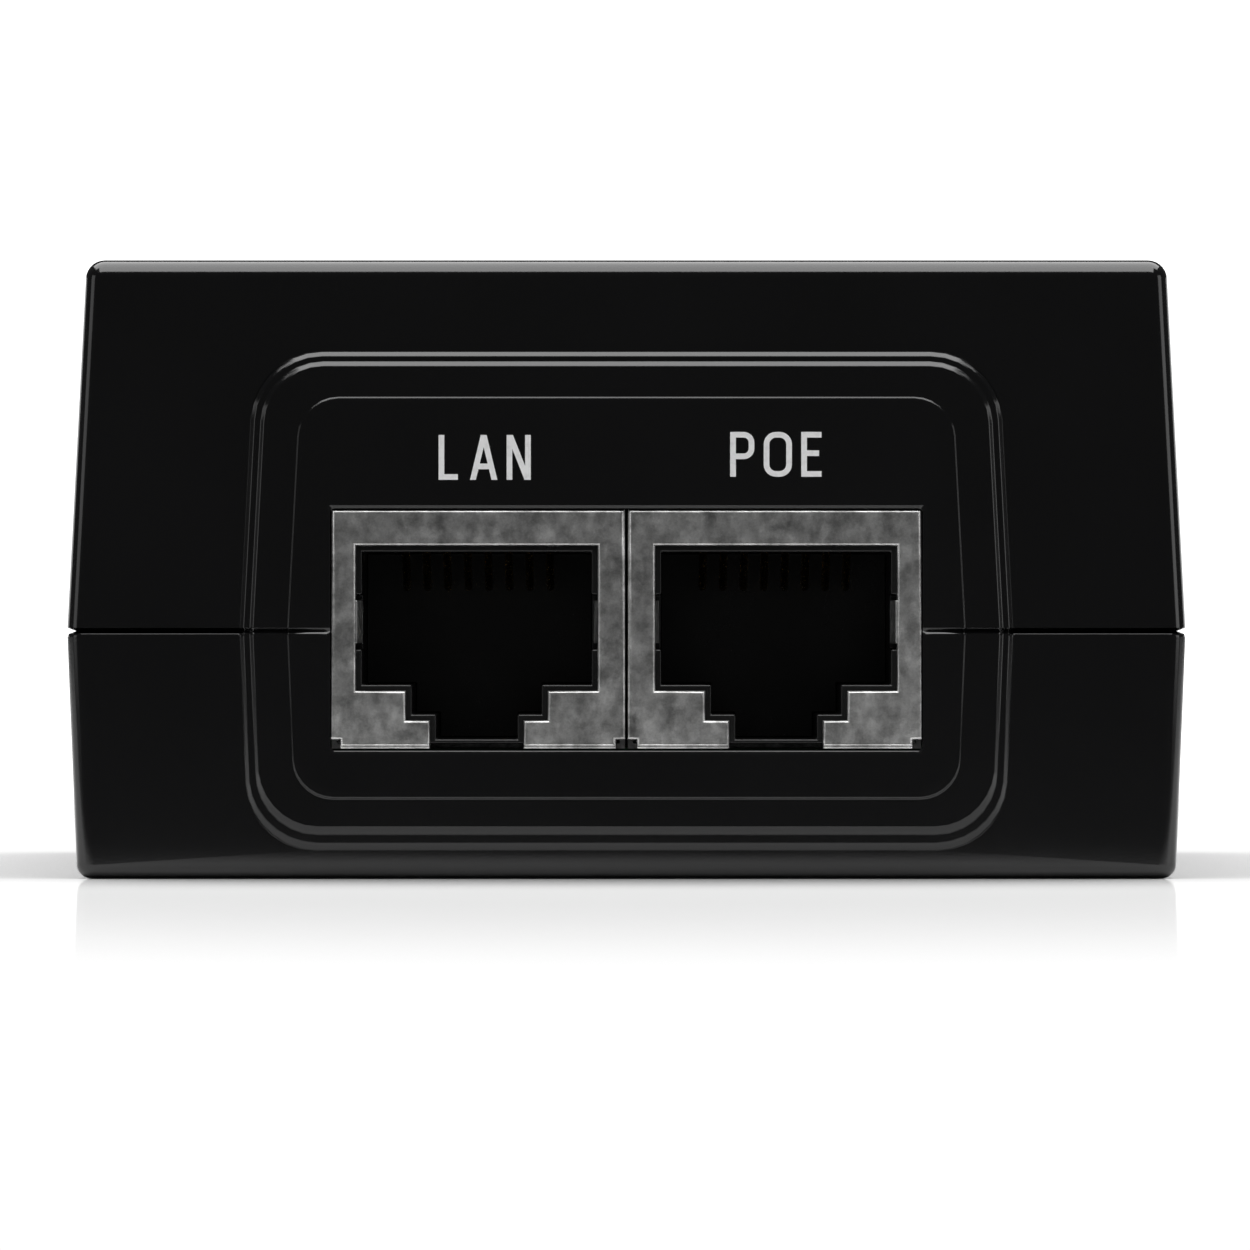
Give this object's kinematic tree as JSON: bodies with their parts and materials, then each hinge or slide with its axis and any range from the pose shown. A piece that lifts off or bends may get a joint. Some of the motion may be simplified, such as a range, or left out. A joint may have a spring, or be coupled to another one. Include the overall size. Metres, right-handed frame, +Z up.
{
  "type": "power over ethernet injector",
  "caption": "Table-top power-over-ethernet injector: drafted black plastic case with shielded data-in and powered network ports side by side and a mains inlet behind.",
  "frame": {"origin": "centre of the case's footprint, on the surface it stands on", "axes": "+Z up, +Y along the length from the network ports towards the mains inlet, +X to the right seen from the ports"},
  "size_m": [0.0552, 0.09, 0.0305],
  "materials": {
    "cover_plastic": "fine grained satin black moulding",
    "blank_label": "satin silver-grey film, blank",
    "board_laminate": "solder-masked glass laminate",
    "clear_film": "thin insulating film",
    "moulded_epoxy": "dull moulded epoxy",
    "inlet_plastic": "smooth moulded plastic",
    "pin_nickel": "nickel-plated brass, drawn",
    "disc_coating": "dipped coating",
    "box_plastic": "moulded box",
    "ferrite": "sintered ferrite",
    "copper_enamel": "enamelled copper wire",
    "can_sleeve": "aluminium can in a shrink sleeve",
    "bobbin_plastic": "moulded bobbin",
    "winding_tape": "polyester tape over copper",
    "sink_aluminium": "rolled sheet",
    "shield_tin": "tin-plated sheet, cloudy",
    "jack_plastic": "moulded black plastic",
    "contact_gold": "gold-flashed spring wire"
  },
  "bodies": {
    "case": {"top_cover": "cover_plastic", "bottom_cover": "cover_plastic", "rating_label": "blank_label", "main_board": "board_laminate", "insulation_film": "clear_film", "underside_chips": "moulded_epoxy", "inlet_housing": "inlet_plastic", "inlet_line_pin": "pin_nickel", "inlet_neutral_pin": "pin_nickel", "inlet_earth_pin": "pin_nickel", "input_fuse": "moulded_epoxy", "surge_disc": "disc_coating", "filter_capacitor": "box_plastic", "choke_core": "ferrite", "choke_coil_line": "copper_enamel", "choke_coil_neutral": "copper_enamel", "bridge_rectifier": "moulded_epoxy", "reservoir_capacitor": "can_sleeve", "transformer_core": "ferrite", "transformer_bobbin": "bobbin_plastic", "transformer_windings": "winding_tape", "switch_heat_sink": "sink_aluminium", "power_switch": "moulded_epoxy", "output_diode_heat_sink": "sink_aluminium", "output_diode": "moulded_epoxy", "bridging_capacitor": "disc_coating", "feedback_coupler": "moulded_epoxy", "smoothing_capacitors": "can_sleeve", "output_choke_core": "ferrite", "output_choke_coil": "copper_enamel", "data_transformer": "moulded_epoxy", "lan_jack_shield": "shield_tin", "lan_jack_housing": "jack_plastic", "lan_jack_insert": "jack_plastic", "lan_jack_tails": "contact_gold", "poe_jack_shield": "shield_tin", "poe_jack_housing": "jack_plastic", "poe_jack_insert": "jack_plastic", "poe_jack_tails": "contact_gold"},
    "lan_wires": {"lan_jack_contacts": "contact_gold"},
    "poe_wires": {"poe_jack_contacts": "contact_gold"}
  },
  "joints": [
    {"name": "lan_wires_flex", "type": "hinge", "parent": "case", "child": "lan_wires", "pos_m": [-0.00738, -0.0402, 0.0169], "axis": [1, 0, 0], "range_deg": [0, 12], "stiffness_Nm_per_rad": 0.05},
    {"name": "poe_wires_flex", "type": "hinge", "parent": "case", "child": "poe_wires", "pos_m": [0.00738, -0.0402, 0.0169], "axis": [1, 0, 0], "range_deg": [0, 12], "stiffness_Nm_per_rad": 0.05}
  ]
}
